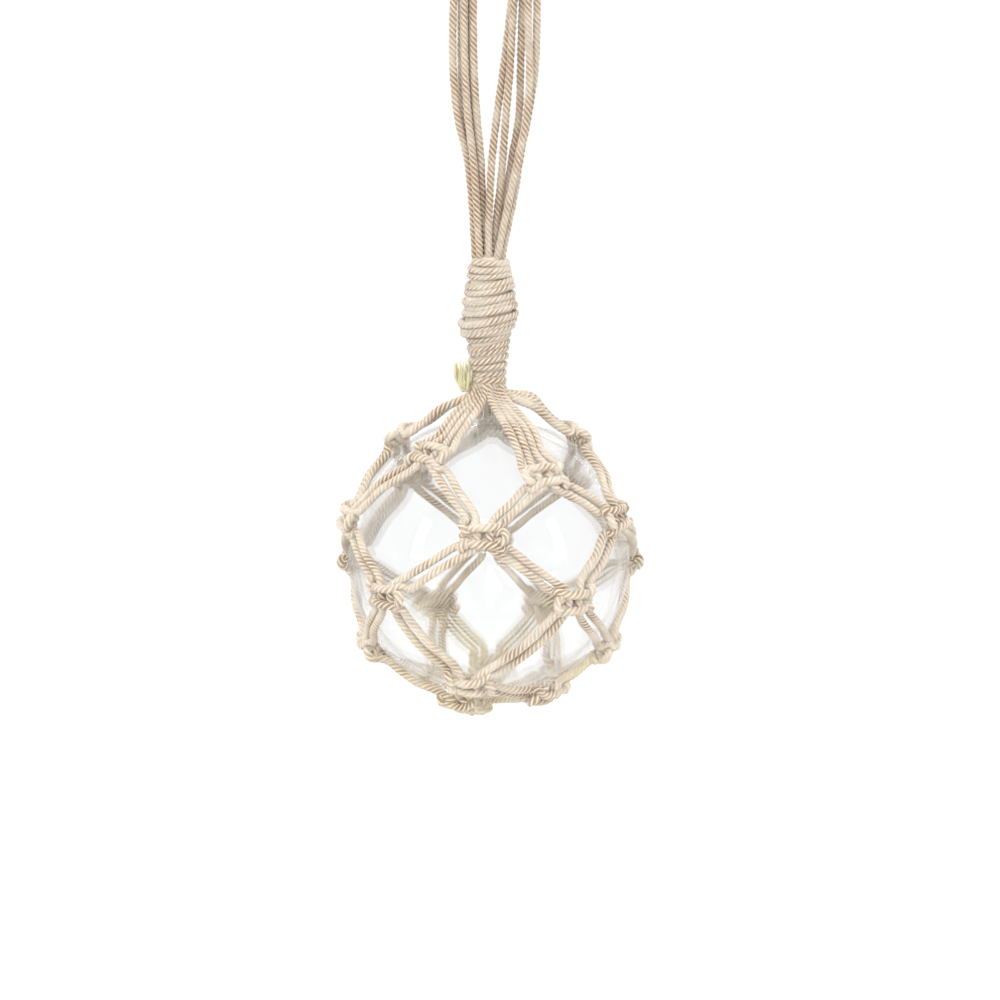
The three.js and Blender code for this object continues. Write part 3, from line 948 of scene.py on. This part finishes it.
def loop_line(route):
    """One cord from the neck over the hook and back."""
    radius, depth = route["crown"]
    legs = []
    for name in ("left", "right"):
        leg = [(x, y, -level) for (x, y), level in zip(route[name], LOOP_LEVELS)]
        x, y, z = leg[-1]
        # The cord goes on a little way inside the neck
        legs.append([*leg, (x * 0.97, y * 0.97, z - 0.0015)])
    crown = []
    for angle in np.linspace(math.pi, 0, 7):
        z = radius * math.sin(angle) - CROWN_INSIDE
        crown.append((radius * math.cos(angle), depth, z))
    return smooth_line([*reversed(legs[0]), *crown, *legs[1]], spacing=LOOP_STEP)


class NETFLOAT_OT_hanging_loops(bpy.types.Operator):
    """Hangs the five cord loops over the hook"""

    bl_idname = "netfloat.hanging_loops"
    bl_label = "Hanging loops"
    bl_options = {"REGISTER", "UNDO"}

    def execute(self, context):
        cord = context.scene.net_float.cord
        # The loops' darker cotton is painted shade
        material = cotton_material("loop_cotton", cord.shaded_loop_cotton, LOOP_SHADE_AND_DIRT)
        for number, route in enumerate(LOOP_ROUTES, 1):
            line = loop_line(route)
            loop = CordMesh(LOOP_SEED + number, cord.groove)
            loop.add(line)
            loop.stray_fibres([line])
            piece = loop.to_object(f"cord_loop_{number}", material)
            finish_piece(piece, "loop_cord", f"hanging_loop_{number}")
        return {"FINISHED"}


# The glass


class NETFLOAT_OT_glass_ball(bpy.types.Operator):
    """Blows the hollow glass ball"""

    bl_idname = "netfloat.glass_ball"
    bl_label = "Glass ball"
    bl_options = {"REGISTER", "UNDO"}

    def execute(self, context):
        glass = context.scene.net_float.glass
        bpy.ops.object.select_all(action="DESELECT")
        bpy.ops.mesh.primitive_uv_sphere_add(
            segments=128, ring_count=64, radius=glass.diameter / 2, location=ball_centre.tolist()
        )
        ball = context.active_object
        ball.name = "blown_ball"
        ball.visible_shadow = False
        bpy.ops.object.transform_apply(location=True, rotation=True, scale=True)
        wall = ball.modifiers.new("wall", "SOLIDIFY")
        wall.thickness, wall.offset = glass.wall, -1
        bpy.ops.object.modifier_apply(modifier=wall.name)
        bpy.ops.object.shade_smooth()
        ball.data.materials.append(glass_material())
        finish_piece(ball, "glass", "glass_ball")
        return {"FINISHED"}


# Camera, light and floor


def stage_material():
    """The pale matt floor."""
    made = bpy.data.materials.new("pale_floor")
    made.use_nodes = True
    tree = made.node_tree
    shader = tree.nodes["Principled BSDF"]
    shader.inputs["Roughness"].default_value = 0.9
    shader.inputs["Specular IOR Level"].default_value = 0.1
    shader.inputs["Emission Color"].default_value = (1, 1, 1, 1)
    shader.inputs["Emission Strength"].default_value = 0.03
    place = node(tree, "ShaderNodeTexCoord", (-900, 0))
    grain = noise(tree, (-700, 0), 40.0, 2.0)
    tone = map_range(tree, (-500, 0), 0.0, 1.0, 0.71, 0.75)
    tree.links.new(place.outputs["Object"], grain.inputs["Vector"])
    tree.links.new(grain.outputs["Fac"], tone.inputs["Value"])
    tree.links.new(tone.outputs["Result"], shader.inputs["Base Color"])
    return made


class NETFLOAT_OT_stage(bpy.types.Operator):
    """Sets up the camera, the lights and the floor"""

    bl_idname = "netfloat.stage"
    bl_label = "Stage"
    bl_options = {"REGISTER", "UNDO"}

    def execute(self, context):
        s = context.scene.net_float.stage
        back = Vector((0, -math.cos(s.elevation), math.sin(s.elevation)))
        up = Vector((0, math.sin(s.elevation), math.cos(s.elevation)))
        target = Vector(ball_centre) + Vector((VIEW_SHIFT_RIGHT, 0, 0)) + up * VIEW_SHIFT_UP
        bpy.ops.object.select_all(action="DESELECT")
        bpy.ops.object.camera_add(location=target + back * s.distance)
        camera = context.active_object
        camera.rotation_euler = (-back).to_track_quat("-Z", "Y").to_euler()
        camera.data.lens, camera.data.sensor_width = 100, 36
        camera.data.clip_start, camera.data.clip_end = 0.05, 100
        context.scene.camera = camera

        for place, wide, tall, share in LIGHTS:
            bpy.ops.object.select_all(action="DESELECT")
            bpy.ops.object.light_add(type="AREA", location=place)
            light = context.active_object
            light.data.shape = "RECTANGLE"
            light.data.size, light.data.size_y = wide, tall
            light.data.energy = s.key_power * share
            aim = Vector(ball_centre) - light.location
            light.rotation_euler = aim.to_track_quat("-Z", "Y").to_euler()

        bpy.ops.object.select_all(action="DESELECT")
        bpy.ops.mesh.primitive_plane_add(size=60, location=(0, 0, -s.floor_drop))
        floor = context.active_object
        floor.name = "pale_floor"
        bpy.ops.object.transform_apply(location=True, rotation=True, scale=True)
        floor.data.materials.append(stage_material())

        world = bpy.data.worlds.new("soft_white")
        world.use_nodes = True
        sky = world.node_tree.nodes["Background"]
        sky.inputs["Color"].default_value = (1, 1, 1, 1)
        sky.inputs["Strength"].default_value = 1.35
        context.scene.world = world
        context.scene.view_settings.view_transform = "Standard"
        return {"FINISHED"}


class NETFLOAT_PT_panel(bpy.types.Panel):
    """Everything that the net float is built from"""

    bl_label = "Net Float"
    bl_idname = "NETFLOAT_PT_panel"
    bl_space_type = "VIEW_3D"
    bl_region_type = "UI"
    bl_category = "Net Float"

    def draw(self, context):
        layout = self.layout
        for operator in OPERATORS:
            layout.operator(operator.bl_idname)
        for title in ("glass", "cord", "net", "whipping", "stage"):
            group = getattr(context.scene.net_float, title)
            box = layout.box()
            box.label(text=title.capitalize())
            for name in group.__annotations__:
                box.prop(group, name)


OPERATORS = (
    NETFLOAT_OT_stage,
    NETFLOAT_OT_hanging_loops,
    NETFLOAT_OT_whipping,
    NETFLOAT_OT_rope_net,
    NETFLOAT_OT_glass_ball,
)
CLASSES = (
    GlassSettings,
    CordSettings,
    NetSettings,
    WhippingSettings,
    StageSettings,
    NetFloatSettings,
    *OPERATORS,
    NETFLOAT_PT_panel,
)


def register():
    for item in CLASSES:
        bpy.utils.register_class(item)
    bpy.types.Scene.net_float = bpy.props.PointerProperty(type=NetFloatSettings)


def unregister():
    del bpy.types.Scene.net_float
    for item in reversed(CLASSES):
        bpy.utils.unregister_class(item)


def main():
    register()
    bpy.ops.netfloat.stage()
    bpy.ops.netfloat.hanging_loops()
    bpy.ops.netfloat.whipping()
    bpy.ops.netfloat.rope_net()
    bpy.ops.netfloat.glass_ball()


if __name__ == "__main__":
    main()
